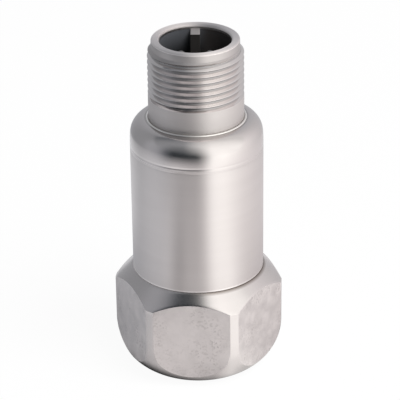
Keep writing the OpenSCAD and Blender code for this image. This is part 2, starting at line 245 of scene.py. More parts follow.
def only_in_metal(sheet):
    sheet.visible_camera = False
    sheet.visible_diffuse = False
    sheet.visible_shadow = False
    sheet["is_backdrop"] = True


tent_cloth, emit = glowing("tent_cloth")
nodes, links = tent_cloth.node_tree.nodes, tent_cloth.node_tree.links
links.new(colour_around(nodes, links, TENT_CLOTH), emit.inputs["Color"])
bm = bmesh.new()
rib = [bm.verts.new((TENT_R * math.cos(rise), 0, TENT_R * math.sin(rise)))
       for rise in (math.pi / 2 * i / RIB_ROWS for i in range(RIB_ROWS + 1))]
bmesh.ops.spin(bm, geom=rib + [bm.edges.new(pair) for pair in zip(rib, rib[1:])], axis=(0, 0, 1),
               cent=(0, 0, 0), angle=math.tau, steps=TENT_STEPS, use_merge=True)
bmesh.ops.remove_doubles(bm, verts=bm.verts, dist=TENT_MERGE)
only_in_metal(link_object("light_tent", bm, tent_cloth))


def survey(nodes, links, operation, *values):
    step = nodes.new("ShaderNodeVectorMath")
    step.operation = operation
    for value, socket in zip(values, step.inputs):
        plug(links, value, socket)
    return step.outputs["Value" if operation in ("DOT_PRODUCT", "LENGTH", "DISTANCE") else "Vector"]


def spread_out(nodes, links, value, start, stop, low=0, high=1, kind="LINEAR"):
    span = nodes.new("ShaderNodeMapRange")
    span.interpolation_type = kind
    for end, socket in ((value, "Value"), (start, "From Min"), (stop, "From Max"), (low, "To Min"),
                        (high, "To Max")):
        plug(links, end, span.inputs[socket])
    return span.outputs["Result"]


def ramp_along(nodes, links, way, start, stop):
    place = nodes.new("ShaderNodeTexCoord")
    return spread_out(nodes, links, survey(nodes, links, "DOT_PRODUCT", place.outputs["Object"], way),
                      start, stop)


def tint_between(nodes, links, share, first, second):
    tint = nodes.new("ShaderNodeMix")
    tint.data_type = "RGBA"
    plug(links, share, tint.inputs["Factor"])
    for colour, socket in ((first, "A"), (second, "B")):
        plug(links, (*colour, 1) if isinstance(colour, tuple) else colour, tint.inputs[socket])
    return tint.outputs["Result"]


roof_card, emit = glowing("roof_card")
nodes, links = roof_card.node_tree.nodes, roof_card.node_tree.links
to_front = Vector((right.y, -right.x, 0))
halves = [tint_between(nodes, links, ramp_along(nodes, links, to_front, start, stop), lit(far), lit(near))
          for far, near, start, stop in (ROOF_LEFT, ROOF_RIGHT)]
to_right = ramp_along(nodes, links, right, ROOF_TURN_FROM, ROOF_TURN_TO)
links.new(tint_between(nodes, links, to_right, *halves), emit.inputs["Color"])
clear = nodes.new("ShaderNodeBsdfTransparent")
fade = nodes.new("ShaderNodeMixShader")
links.new(ramp_along(nodes, links, to_front - right * ROOF_FADE_SLANT, ROOF_FADE_FROM, ROOF_FADE_TO),
          fade.inputs[0])
links.new(emit.outputs[0], fade.inputs[1])
links.new(clear.outputs[0], fade.inputs[2])
links.new(fade.outputs[0], nodes["Material Output"].inputs["Surface"])
bm = bmesh.new()
corners = ((-ROOF_FRONT_LEFT, ROOF_FRONT, ROOF_FRONT_Z), (ROOF_SIDE, ROOF_FRONT, ROOF_FRONT_Z),
           (ROOF_SIDE, ROOF_BACK, ROOF_BACK_Z), (-ROOF_SIDE, ROOF_BACK, ROOF_BACK_Z))
bm.faces.new([bm.verts.new(right * side + to_front * forward + Vector((0, 0, z)))
              for side, forward, z in corners])
only_in_metal(link_object("roof_card", bm, roof_card))

lit_table, emit = glowing("lit_table")
nodes, links = lit_table.node_tree.nodes, lit_table.node_tree.links
place = nodes.new("ShaderNodeTexCoord")
reach = survey(nodes, links, "LENGTH", place.outputs["Object"])
colour = colour_around(nodes, links, CLOSE_TABLE)
for start, stop, further in ((CLOSE_FROM, CLOSE_TO, NEAR_TABLE), (TABLE_NEAR, TABLE_FAR, TENT_CLOTH)):
    colour = tint_between(nodes, links, spread_out(nodes, links, reach, start, stop), colour,
                          colour_around(nodes, links, further))
shades = [(right * -FOOT_SHADE_LEFT, FOOT_SHADE, FOOT_SHADE_FROM, FOOT_SHADE_TO),
          (Vector(), RING_SHADE, RING_FROM, RING_TO)]
for dark, turn, distance, r in CAST_SHADES:
    shades.append(((to_front * math.cos(turn) + right * math.sin(turn)) * distance, dark, 0, r))
for centre, dark, start, stop in shades:
    aside = survey(nodes, links, "DISTANCE", place.outputs["Object"], centre)
    darken = nodes.new("ShaderNodeVectorMath")
    darken.operation = "SCALE"
    links.new(colour, darken.inputs[0])
    links.new(spread_out(nodes, links, aside, start, stop, dark, 1, "SMOOTHSTEP"), darken.inputs["Scale"])
    colour = darken.outputs[0]
links.new(colour, emit.inputs["Color"])
bm = bmesh.new()
bmesh.ops.create_circle(bm, cap_ends=True, segments=TENT_STEPS, radius=TENT_R,
                        matrix=Matrix.Translation((0, 0, -TABLE_DROP / 2)))
only_in_metal(link_object("lit_table", bm, lit_table))

LAMP_POWER, LAMP_SIZE = 13, 0.6
LAMP_PLACE = Vector((0.5, -0.3, 0.9))
lamp_data = bpy.data.lights.new("table_lamp", "AREA")
lamp_data.energy = LAMP_POWER
lamp_data.size = LAMP_SIZE
lamp = bpy.data.objects.new("table_lamp", lamp_data)
lamp.location = LAMP_PLACE
lamp.rotation_euler = (-LAMP_PLACE).to_track_quat("-Z", "Y").to_euler()
lamp.visible_glossy = False
scene.collection.objects.link(lamp)


# Housing: one piece of stainless bar, turned to a cup with a rounded foot and a cone, then milled with six
# wrench flats. A stud screws into the tapped hole in its foot.
STEPS = 192
COLUMN = math.tau / STEPS
SIDE = math.pi / 3
HEX_HALF = 12.74
BAR_R = 14.2875
HEX_H = 14.25
FOOT_R = 10.5
FOOT_EDGE_R = 7.62
FOOT_EDGE_X = BAR_R - FOOT_EDGE_R
FOOT_EDGE_Z = math.sqrt(FOOT_EDGE_R ** 2 - (FOOT_R - FOOT_EDGE_X) ** 2)
BODY_R = 11.1125
CONE_TOP = HEX_H + BAR_R - BODY_R
GROOVE_LOW = 0.06
GROOVE_UP = 0.03
GROOVE_D = 0.05
SEAM_Z = 39.7
WELD_HALF = 0.46
WELD_MARK = 0.06
WELD_DEPTH = 0.02
CAVITY_R = 9.3125
SPIGOT_R = 10.1625
SPIGOT_LEN = 2
HOLE_R = 2.75
HOLE_ROOT_R = 3.175
INCH = 25.4
HOLE_PITCH = INCH / 28
HOLE_DEPTH = 8
HOLE_LEAD = 0.5
HOLE_RUN_OUT = 0.6
DRILL_HALF_ANGLE = math.radians(59)
DRILL_TIP_Z = HOLE_DEPTH + HOLE_R / math.tan(DRILL_HALF_ANGLE)
FLOOR_T = 2.4
FLOOR_Z = DRILL_TIP_Z + FLOOR_T
ARC_ROWS = 14
FLAT_ROWS = 8
CONE_ROWS = 6
EDGE_BREAK = 0.06 * MM
EDGE_SEGMENTS = 2
GROOVE_BREAK = 0.012 * MM
SHARP = math.radians(16)
CREASE = math.radians(35)
CLOSE = 1e-4
FIT = 0.05
MERGE, THREAD_MERGE = 1e-7, 2e-6
QUARTER_TURN = 0.25
EVEN_WEIGHT = 80


def lathe(bm, section, closed=False, steps=STEPS):
    row = bm.verts.layers.int.get("row") or bm.verts.layers.int.new("row")
    verts = [bm.verts.new((r * MM, 0, z * MM)) for r, z in section]
    edges = [bm.edges.new(pair) for pair in zip(verts, verts[1:])]
    if closed:
        edges.append(bm.edges.new((verts[-1], verts[0])))
    for i, v in enumerate(verts):
        v[row] = i
    bmesh.ops.spin(bm, geom=verts + edges, axis=(0, 0, 1), cent=(0, 0, 0), angle=math.tau, steps=steps,
                   use_merge=True)
    bmesh.ops.remove_doubles(bm, verts=bm.verts, dist=MERGE)
    return row


def break_edges(bm, width, sharp=SHARP, low=-math.inf, top=math.inf):
    edges = [e for e in bm.edges if len(e.link_faces) == 2 and abs(e.calc_face_angle_signed(0)) > sharp
             and low < e.verts[0].co.z < top]
    bmesh.ops.bevel(bm, geom=edges, offset=width, segments=EDGE_SEGMENTS, profile=0.5, affect="EDGES",
                    material=-1, clamp_overlap=True)


# One turn of a thread as (share of the pitch, share of the depth below the crest)
THREAD_TURN = ((0, 0.06), (0.025, 0), (0.075, 0), (0.1, 0.06), (0.12, 0.114), (0.342, 0.716), (0.362, 0.77),
               (0.405, 0.86), (0.466, 0.935), (0.536, 0.985), (0.612, 1), (0.66, 0.96), (0.68, 0.907),
               (0.98, 0.113))


def thread(bm, crest, root, pitch, low, high, low_r, high_r, limit, finish):
    turns = math.ceil((high - low) / pitch) + 2
    start = low - pitch
    points = [(crest + (root - crest) * d, start + share * pitch) for share, d in THREAD_TURN]
    points.append((points[0][0], points[0][1] + pitch))
    coil = bmesh.new()
    verts = [coil.verts.new((r * MM, 0, z * MM)) for r, z in points]
    edges = [coil.edges.new(pair) for pair in zip(verts, verts[1:])]
    bmesh.ops.spin(coil, geom=verts + edges, axis=(0, 0, 1), cent=(0, 0, 0), angle=math.tau, steps=STEPS,
                   dvec=(0, 0, pitch * MM / STEPS))
    turn = coil.verts[:] + coil.edges[:] + coil.faces[:]
    for i in range(1, turns):
        copy = bmesh.ops.duplicate(coil, geom=turn)["geom"]
        bmesh.ops.translate(coil, verts=[v for v in copy if isinstance(v, bmesh.types.BMVert)],
                            vec=(0, 0, i * pitch * MM))
    for v in coil.verts:
        r, z = math.hypot(v.co.x, v.co.y) / MM, v.co.z / MM
        to_r, to_z = limit(r, z), z
        if z < low + CLOSE:
            to_r, to_z = low_r, low
        elif z > high - CLOSE:
            to_r, to_z = high_r, high
        v.co.x *= to_r / r
        v.co.y *= to_r / r
        v.co.z = to_z * MM
    bmesh.ops.remove_doubles(coil, verts=coil.verts, dist=THREAD_MERGE)
    bmesh.ops.dissolve_degenerate(coil, edges=coil.edges, dist=MERGE)
    for f in coil.faces:
        f.material_index = finish
    whole = bpy.data.meshes.new("coil")
    coil.to_mesh(whole)
    coil.free()
    bm.from_mesh(whole)
    bpy.data.meshes.remove(whole)
    bmesh.ops.remove_doubles(bm, verts=bm.verts, dist=THREAD_MERGE)


def settle(name, bm, *materials):
    bmesh.ops.recalc_face_normals(bm, faces=bm.faces)
    for f in bm.faces:
        f.smooth = True
    for e in bm.edges:
        e.smooth = e.calc_face_angle(0) < CREASE
    obj = link_object(name, bm, *materials)
    even = obj.modifiers.new("even_normals", "WEIGHTED_NORMAL")
    even.weight = EVEN_WEIGHT
    even.keep_sharp = True
    bpy.context.view_layer.update()
    finished = bpy.data.meshes.new_from_object(obj.evaluated_get(bpy.context.evaluated_depsgraph_get()))
    obj.modifiers.clear()
    unfinished, obj.data = obj.data, finished
    bpy.data.meshes.remove(unfinished)
    finished.name = name
    return obj


def shade_group(name, inputs, outputs):
    tree = bpy.data.node_groups.new(name, "ShaderNodeTree")
    for label, kind, value in inputs:
        socket = tree.interface.new_socket(label, in_out="INPUT", socket_type=kind)
        if value is not None:
            socket.default_value = value
    for label in outputs:
        tree.interface.new_socket(label, in_out="OUTPUT", socket_type="NodeSocketFloat")
    return tree, tree.nodes.new("NodeGroupInput"), tree.nodes.new("NodeGroupOutput")


# Fine rings left by the turning tool: noise stretched around the axis
RINGS, AROUND = 6000.0, 40.0
BROAD_SHARE = 0.11
turning, ends_in, ends_out = shade_group(
    "turning_marks", (("Vector", "NodeSocketVector", None), ("Rings", "NodeSocketFloat", RINGS),
                      ("Around", "NodeSocketFloat", AROUND)), ("Fine", "Broad"))
for output_name, fraction, detail in (("Fine", 1, 3), ("Broad", BROAD_SHARE, 1)):
    stretch = turning.nodes.new("ShaderNodeCombineXYZ")
    for axis in ("X", "Y"):
        turning.links.new(ends_in.outputs["Around"], stretch.inputs[axis])
    turning.links.new(reckon(turning.nodes, turning.links, "MULTIPLY", ends_in.outputs["Rings"], fraction),
                      stretch.inputs["Z"])
    noise = turning.nodes.new("ShaderNodeTexNoise")
    noise.inputs["Scale"].default_value = 1
    noise.inputs["Detail"].default_value = detail
    turning.links.new(survey(turning.nodes, turning.links, "MULTIPLY", ends_in.outputs["Vector"],
                             stretch.outputs[0]), noise.inputs["Vector"])
    turning.links.new(noise.outputs["Fac"], ends_out.inputs[output_name])

# Faint smears from handling
SMEAR_SCALE = 130.0
SMEAR_DETAIL, SMEAR_ROUGH = 4, 0.65
SMEAR_LOW, SMEAR_HIGH = 0.3, 0.7
smears, ends_in, ends_out = shade_group(
    "handling_smears", (("Vector", "NodeSocketVector", None), ("Scale", "NodeSocketFloat", SMEAR_SCALE)),
    ("Smear",))
noise = smears.nodes.new("ShaderNodeTexNoise")
noise.inputs["Detail"].default_value = SMEAR_DETAIL
noise.inputs["Roughness"].default_value = SMEAR_ROUGH
for way in ("Vector", "Scale"):
    smears.links.new(ends_in.outputs[way], noise.inputs[way])
smears.links.new(spread_out(smears.nodes, smears.links, noise.outputs["Fac"], SMEAR_LOW, SMEAR_HIGH),
                 ends_out.inputs["Smear"])

# Painted shade in the roots of a thread, by the distance from its axis
root_shade_group, ends_in, ends_out = shade_group(
    "painted_root_shade", (("Vector", "NodeSocketVector", None), ("Root", "NodeSocketFloat", 0.0),
                    ("Open", "NodeSocketFloat", 1.0)), ("Shade",))
level = survey(root_shade_group.nodes, root_shade_group.links, "MULTIPLY", ends_in.outputs["Vector"], (1, 1, 0))
root_shade_group.links.new(spread_out(root_shade_group.nodes, root_shade_group.links, survey(root_shade_group.nodes, root_shade_group.links, "LENGTH", level),
                          ends_in.outputs["Root"], ends_in.outputs["Open"], 1, 0), ends_out.inputs["Shade"])


def tint_steel(material, share, colour):
    links = material.node_tree.links
    base = material.node_tree.nodes["Principled BSDF"].inputs["Base Color"]
    bare = base.links[0].from_socket
    links.new(tint_between(material.node_tree.nodes, links, share, bare, colour), base)


def shade_roots(material, root_r, open_r, colour):
    nodes, links = material.node_tree.nodes, material.node_tree.links
    place = nodes.new("ShaderNodeTexCoord")
    depth = nodes.new("ShaderNodeGroup")
    depth.node_tree = root_shade_group
    depth.inputs["Root"].default_value = root_r * MM
    depth.inputs["Open"].default_value = open_r * MM
    links.new(place.outputs["Object"], depth.inputs["Vector"])
    tint_steel(material, depth.outputs["Shade"], colour)


def finish_of(name, metal):
    material = bpy.data.materials.new(name)
    material.use_nodes = True
    nodes, links = material.node_tree.nodes, material.node_tree.links
    shader = nodes["Principled BSDF"]
    shader.inputs["Metallic"].default_value = metal
    return material, nodes, links, shader


def raise_marks(nodes, links, height, depth, shader):
    bump = nodes.new("ShaderNodeBump")
    bump.inputs["Strength"].default_value = 1
    bump.inputs["Distance"].default_value = depth
    links.new(height, bump.inputs["Height"])
    links.new(bump.outputs[0], shader.inputs["Normal"])


def turned_steel(name, dark, light, rings, rough, spread, depth, anisotropic=0.0, metal=1.0):
    material, nodes, links, shader = finish_of(name, metal)
    shader.inputs["Anisotropic"].default_value = anisotropic
    place = nodes.new("ShaderNodeTexCoord")
    marks = nodes.new("ShaderNodeGroup")
    marks.node_tree = turning
    marks.inputs["Rings"].default_value = rings
    hands = nodes.new("ShaderNodeGroup")
    hands.node_tree = smears
    for group in (marks, hands):
        links.new(place.outputs["Object"], group.inputs["Vector"])
    links.new(tint_between(nodes, links, marks.outputs["Broad"], dark, light), shader.inputs["Base Color"])
    fine = spread_out(nodes, links, marks.outputs["Fine"], 0, 1, rough - spread, rough + spread)
    links.new(reckon(nodes, links, "MULTIPLY_ADD", hands.outputs["Smear"], spread, fine),
              shader.inputs["Roughness"])
    raise_marks(nodes, links, marks.outputs["Fine"], depth, shader)
    if anisotropic:
        shader.inputs["Anisotropic Rotation"].default_value = QUARTER_TURN
        around = nodes.new("ShaderNodeTangent")
        around.direction_type = "RADIAL"
        around.axis = "Z"
        links.new(around.outputs[0], shader.inputs["Tangent"])
    return material


# Tints the steel along the given ramps; here it paints highlight and shade
def paint_shading(material, colour, *ramps):
    nodes, links = material.node_tree.nodes, material.node_tree.links
    share, *others = [ramp_along(nodes, links, way, start * MM, stop * MM) for way, start, stop in ramps]
    for other in others:
        share = reckon(nodes, links, "MULTIPLY", share, other)
    tint_steel(material, share, colour)


turned_body = turned_steel("turned_body", (0.62, 0.59, 0.58), (0.66, 0.63, 0.62), rings=7000, rough=0.32,
                           spread=0.02, depth=3e-7, anisotropic=0.6)
turned_base = turned_steel("turned_base", (0.62, 0.59, 0.58), (0.66, 0.63, 0.62), rings=5000, rough=0.22,
                           spread=0.02, depth=3e-7)
# A painted highlight along the body's lower edge, and painted shade below it on the right, on the top of the
# cone
DOWN = Vector((0, 0, -1))
EDGE_HIGHLIGHT_FROM, EDGE_HIGHLIGHT_TO = 0.4, 0.15
EDGE_SHADE_FROM, EDGE_SHADE_TO = 0.5, 0.08
EDGE_SHADE_LEFT, EDGE_SHADE_RIGHT = -3, 2
paint_shading(turned_body, (0.84, 0.81, 0.80), (DOWN, -CONE_TOP - EDGE_HIGHLIGHT_FROM, -CONE_TOP - EDGE_HIGHLIGHT_TO))
paint_shading(turned_base, (0.25, 0.215, 0.195), (-DOWN, CONE_TOP - EDGE_SHADE_FROM, CONE_TOP - EDGE_SHADE_TO),
      (right, EDGE_SHADE_LEFT, EDGE_SHADE_RIGHT))

# Wrench flats: cloudy from the milling, with short upright streaks and clusters of fine pits. Their tone is
# painted lighter than the body's steel, a painted sheen
FLAT_DARK, FLAT_LIGHT, PIT_COLOUR = (0.67, 0.64, 0.63), (0.77, 0.735, 0.725), (0.58, 0.55, 0.54)
CLOUD_SCALE, STREAK_ACROSS, STREAK_ALONG, PIT_SCALE, CLUSTER_SCALE = 520, 2600, 260, 2700, 210
FLAT_SMOOTH, FLAT_DULL = 0.36, 0.5
STREAK_DEPTH = 4e-6
milled_flat_sheen, nodes, links, shader = finish_of("milled_flat_sheen", 1)
place = nodes.new("ShaderNodeTexCoord")
masks = {}
for mask, scale, detail, start, stop in (
        ("clouds", (CLOUD_SCALE,) * 3, 6, 0.35, 0.65),
        ("streaks", (STREAK_ACROSS, STREAK_ACROSS, STREAK_ALONG), 3, 0.3, 0.7),
        ("pits", (PIT_SCALE,) * 3, 3, 0.5, 0.66),
        ("clusters", (CLUSTER_SCALE,) * 3, 3, 0.42, 0.6)):
    noise = nodes.new("ShaderNodeTexNoise")
    noise.inputs["Scale"].default_value = 1
    noise.inputs["Detail"].default_value = detail
    links.new(survey(nodes, links, "MULTIPLY", place.outputs["Object"], scale), noise.inputs["Vector"])
    masks[mask] = spread_out(nodes, links, noise.outputs["Fac"], start, stop)
pitted = reckon(nodes, links, "MULTIPLY", masks["pits"], masks["clusters"])
tone = tint_between(nodes, links, masks["clouds"], FLAT_DARK, FLAT_LIGHT)
links.new(tint_between(nodes, links, pitted, tone, PIT_COLOUR), shader.inputs["Base Color"])
links.new(spread_out(nodes, links, masks["clouds"], 0, 1, FLAT_SMOOTH, FLAT_DULL),
          shader.inputs["Roughness"])
raise_marks(nodes, links, reckon(nodes, links, "SUBTRACT", masks["streaks"], pitted), STREAK_DEPTH, shader)

BASE_FINISH, FLAT_FINISH, HOLE_FINISH = 1, 2, 3
INSIDE_FOOT = 0.99
ON_FLAT, UPRIGHT = 0.002, 0.01
flat_turns = [SIDE * (k + 0.5) for k in range(6)]
band_half = SIDE / 2 - math.acos(HEX_HALF / BAR_R)
band_columns = 2 * COLUMN

foot_to_groove = [(HOLE_R, HOLE_LEAD), (HOLE_R + HOLE_LEAD, 0), (FOOT_R, 0)]
first_arc = len(foot_to_groove)
arc_start = math.acos((FOOT_R - FOOT_EDGE_X) / FOOT_EDGE_R)
for i in range(1, ARC_ROWS + 1):
    turn = arc_start * (1 - i / ARC_ROWS)
    foot_to_groove.append((FOOT_EDGE_X + FOOT_EDGE_R * math.cos(turn),
                           FOOT_EDGE_Z - FOOT_EDGE_R * math.sin(turn)))
first_flat = len(foot_to_groove)
foot_to_groove += [(BAR_R, FOOT_EDGE_Z + (HEX_H - FOOT_EDGE_Z) * i / FLAT_ROWS)
                   for i in range(1, FLAT_ROWS + 1)]
first_cone = len(foot_to_groove)
lip_r, lip_z = BODY_R + GROOVE_LOW, CONE_TOP - GROOVE_LOW
foot_to_groove += [(BAR_R + (lip_r - BAR_R) * i / CONE_ROWS, HEX_H + (lip_z - HEX_H) * i / CONE_ROWS)
                   for i in range(1, CONE_ROWS + 1)]
first_body = len(foot_to_groove)
weld_z = SEAM_Z - WELD_HALF
up_and_in = [(BODY_R - GROOVE_D, CONE_TOP - GROOVE_LOW), (BODY_R - GROOVE_D, CONE_TOP + GROOVE_UP),
             (BODY_R, CONE_TOP + GROOVE_UP), (BODY_R, weld_z - WELD_MARK), (BODY_R - WELD_DEPTH, weld_z),
             (BODY_R, weld_z + WELD_MARK), (BODY_R, SEAM_Z), (SPIGOT_R, SEAM_Z),
             (SPIGOT_R, SEAM_Z - SPIGOT_LEN), (CAVITY_R, SEAM_Z - SPIGOT_LEN), (CAVITY_R, FLOOR_Z),
             (0, FLOOR_Z)]
bm = bmesh.new()
row = lathe(bm, foot_to_groove + up_and_in)
for v in bm.verts:
    i = v[row]
    r = math.hypot(v.co.x, v.co.y)
    if r < FOOT_R * INSIDE_FOOT * MM or i < first_arc - 1:
        continue
    angle = math.atan2(v.co.y, v.co.x)
    corner = round(angle / SIDE) * SIDE
    off = abs(angle - corner)
    if off < band_columns:
        off = off * band_half / band_columns
    else:
        off = band_half + (off - band_columns) * (SIDE / 2 - band_half) / (SIDE / 2 - band_columns)
    angle = corner + math.copysign(off, angle - corner)
    r, z = r / MM, v.co.z / MM
    cut_r = min(BAR_R, HEX_HALF / math.cos(SIDE / 2 - off))
    cut_turn = math.acos(min(1, (cut_r - FOOT_EDGE_X) / FOOT_EDGE_R))
    cut_low = FOOT_EDGE_Z - FOOT_EDGE_R * math.sin(cut_turn)
    cut_high = HEX_H + BAR_R - cut_r
    if first_arc <= i < first_flat:
        turn = arc_start + (cut_turn - arc_start) * (i - first_arc + 1) / ARC_ROWS
        r, z = FOOT_EDGE_X + FOOT_EDGE_R * math.cos(turn), FOOT_EDGE_Z - FOOT_EDGE_R * math.sin(turn)
    elif first_flat <= i < first_cone:
        r, z = cut_r, cut_low + (cut_high - cut_low) * (i - first_flat + 1) / FLAT_ROWS
    elif first_cone <= i < first_body:
        share = (i - first_cone + 1) / CONE_ROWS
        r, z = cut_r + (lip_r - cut_r) * share, cut_high + (lip_z - cut_high) * share
    v.co = Vector((r * math.cos(angle), r * math.sin(angle), z)) * MM
bm.normal_update()
for f in bm.faces:
    centre = f.calc_center_median() / MM
    if any(abs(centre.x * math.cos(t) + centre.y * math.sin(t) - HEX_HALF) < ON_FLAT for t in flat_turns):
        f.material_index = FLAT_FINISH if abs(f.normal.z) < UPRIGHT else BASE_FINISH
    elif centre.z < CONE_TOP:
        f.material_index = BASE_FINISH
groove_low = (lip_z - FIT) * MM
break_edges(bm, GROOVE_BREAK, low=groove_low, top=(weld_z - WELD_MARK * 2) * MM)
break_edges(bm, EDGE_BREAK, top=groove_low)
lathe(bm, [(HOLE_R, HOLE_DEPTH), (0, DRILL_TIP_Z)])
thread(bm, HOLE_R, HOLE_ROOT_R, HOLE_PITCH, HOLE_LEAD, HOLE_DEPTH, HOLE_R, HOLE_R,
       lambda r, z: min(r, HOLE_R + HOLE_RUN_OUT * (HOLE_DEPTH - z)), HOLE_FINISH)
tapped_hole = turned_steel("tapped_hole", (0.52, 0.50, 0.49), (0.58, 0.56, 0.55), rings=4000, rough=0.3,
                           spread=0.04, depth=1e-6)
# Painted shade in the roots of the tapped thread
shade_roots(tapped_hole, HOLE_ROOT_R, HOLE_R, (0.27, 0.26, 0.265))
housing = settle("housing_turned", bm, turned_body, turned_base, milled_flat_sheen, tapped_hole)
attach(housing, "root")
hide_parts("housing")


# Insulating sleeve: a thin tube moulded in white polymer and pushed into the housing, so that the sensing
# stack and the board stay clear of the wall.
def dress(node, material):
    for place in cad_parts[node].material_slots:
        place.material = material


GRAIN_DETAIL = 4


def moulded(name, dark, light, grain, rough, spread, depth, metal=0.0):
    material, nodes, links, shader = finish_of(name, metal)
    place = nodes.new("ShaderNodeTexCoord")
    noise = nodes.new("ShaderNodeTexNoise")
    noise.inputs["Scale"].default_value = grain
    noise.inputs["Detail"].default_value = GRAIN_DETAIL
    links.new(place.outputs["Object"], noise.inputs["Vector"])
    uneven = noise.outputs["Fac"]
    links.new(tint_between(nodes, links, uneven, dark, light), shader.inputs["Base Color"])
    links.new(spread_out(nodes, links, uneven, 0, 1, rough - spread, rough + spread),
              shader.inputs["Roughness"])
    raise_marks(nodes, links, uneven, depth, shader)
    return material


white_polymer = moulded("white_polymer", (0.82, 0.81, 0.77), (0.88, 0.87, 0.83), grain=1800, rough=0.5,
                        spread=0.06, depth=4e-6)
dress("insulating_sleeve", white_polymer)

# Base insulator: a disc of sintered alumina, ground flat on both faces.
# It is bonded to the housing's floor, under the sensing stack.
alumina = moulded("sintered_alumina", (0.85, 0.84, 0.81), (0.91, 0.90, 0.87), grain=5200, rough=0.62,
                  spread=0.08, depth=3e-6)
dress("base_insulator", alumina)

# Sensor post: turned from steel, with a flange and a stem.
# The flange is bonded to the disc, and the stem carries the crystal.
post_steel = turned_steel("machined_steel", (0.56, 0.56, 0.56), (0.64, 0.64, 0.64), rings=4500, rough=0.3,
                          spread=0.04, depth=6e-7)
dress("sensor_post", post_steel)

# Crystal ring: piezoelectric ceramic, fired, ground and polarised.
# It is bonded around the post.
fired_crystal = moulded("fired_crystal", (0.58, 0.50, 0.38), (0.66, 0.58, 0.46), grain=6400, rough=0.55,
                        spread=0.06, depth=2e-6)
dress("piezo_ring", fired_crystal)

# Seismic mass: a heavy ring, pressed from tungsten alloy powder and sintered.
# It is bonded around the crystal.
heavy_alloy = moulded("heavy_alloy", (0.24, 0.24, 0.25), (0.31, 0.31, 0.32), grain=7600, rough=0.48,
                      spread=0.08, depth=3e-6, metal=1.0)
dress("seismic_mass", heavy_alloy)

# Shield cup: deep-drawn from thin brass sheet.
# It is set over the crystal and the mass as a screen.
drawn_brass = turned_steel("drawn_brass", (0.66, 0.51, 0.25), (0.76, 0.60, 0.31), rings=2600, rough=0.3,
                           spread=0.05, depth=8e-7)
dress("shield_cup", drawn_brass)

# Lead grommet: a small bush of the same white polymer as the sleeve.
# It is pressed into the cup, to keep the lead off its edge.
dress("lead_grommet", white_polymer)

# Signal lead: one wire in red insulation.
# It is soldered to the mass and to the board.
red_wire = moulded("red_wire", (0.50, 0.04, 0.03), (0.60, 0.06, 0.05), grain=2400, rough=0.4, spread=0.05,
                   depth=2e-6)
dress("signal_lead", red_wire)

# Standoffs: three pillars turned from brass that carry the board.
# They are tapped at the top for its screws.
turned_brass = turned_steel("turned_brass", (0.68, 0.52, 0.25), (0.75, 0.59, 0.31), rings=4500, rough=0.26,
                            spread=0.04, depth=8e-7)
dress("board_standoffs", turned_brass)

# Circuit board: woven glass-fibre laminate, routed round and screwed to the pillars.
# The weave shows through its green solder mask.
WEAVE_SCALE = 620
WEAVE_DEPTH = 8e-6
WEAVE_WANDER = 0.4
solder_mask = moulded("solder_mask", (0.035, 0.18, 0.075), (0.06, 0.27, 0.12), grain=1500, rough=0.34,
                      spread=0.05, depth=WEAVE_DEPTH)
nodes, links = solder_mask.node_tree.nodes, solder_mask.node_tree.links
yarns = []
for way in ("X", "Y"):
    yarn = nodes.new("ShaderNodeTexWave")
    yarn.bands_direction = way
    yarn.inputs["Scale"].default_value = WEAVE_SCALE
    yarn.inputs["Distortion"].default_value = WEAVE_WANDER
    links.new(nodes["Texture Coordinate"].outputs["Object"], yarn.inputs["Vector"])
    yarns.append(yarn.outputs["Fac"])
links.new(reckon(nodes, links, "MULTIPLY", *yarns), nodes["Bump"].inputs["Height"])
dress("circuit_board", solder_mask)

# Board screws: three small screws of the same steel as the post.
# They are driven through the board into the pillars.
dress("board_screws", post_steel)

# Amplifier chip and input transistor: both are moulded in black resin.
# They are soldered flat to the board.
chip_resin = moulded("chip_resin", (0.03, 0.03, 0.031), (0.05, 0.05, 0.05), grain=9000, rough=0.58,
                     spread=0.07, depth=3e-6)
dress("amplifier_chip", chip_resin)
dress("input_transistor", chip_resin)

# Capacitors: tantalum blocks moulded in amber resin.
# They are soldered to the board.
amber_resin = moulded("amber_resin", (0.70, 0.36, 0.05), (0.80, 0.44, 0.08), grain=5200, rough=0.46,
                      spread=0.06, depth=2e-6)
dress("capacitors", amber_resin)

# Resistors: thick-film chips under a dark glaze.
# They are soldered to the board.
dark_glaze = moulded("dark_glaze", (0.05, 0.05, 0.058), (0.075, 0.075, 0.085), grain=3600, rough=0.2,
                     spread=0.05, depth=1e-6)
dress("resistors", dark_glaze)

# Output leads: two wires, one in white and one in black insulation.
# They are soldered to the board and into the cups of the pins.
white_wire = moulded("white_wire", (0.82, 0.82, 0.80), (0.88, 0.88, 0.86), grain=2400, rough=0.42,
                     spread=0.05, depth=2e-6)
dress("output_lead_a", white_wire)
black_wire = moulded("black_wire", (0.024, 0.024, 0.024), (0.036, 0.036, 0.036), grain=2400, rough=0.42,
                     spread=0.05, depth=2e-6)
dress("output_lead_b", black_wire)

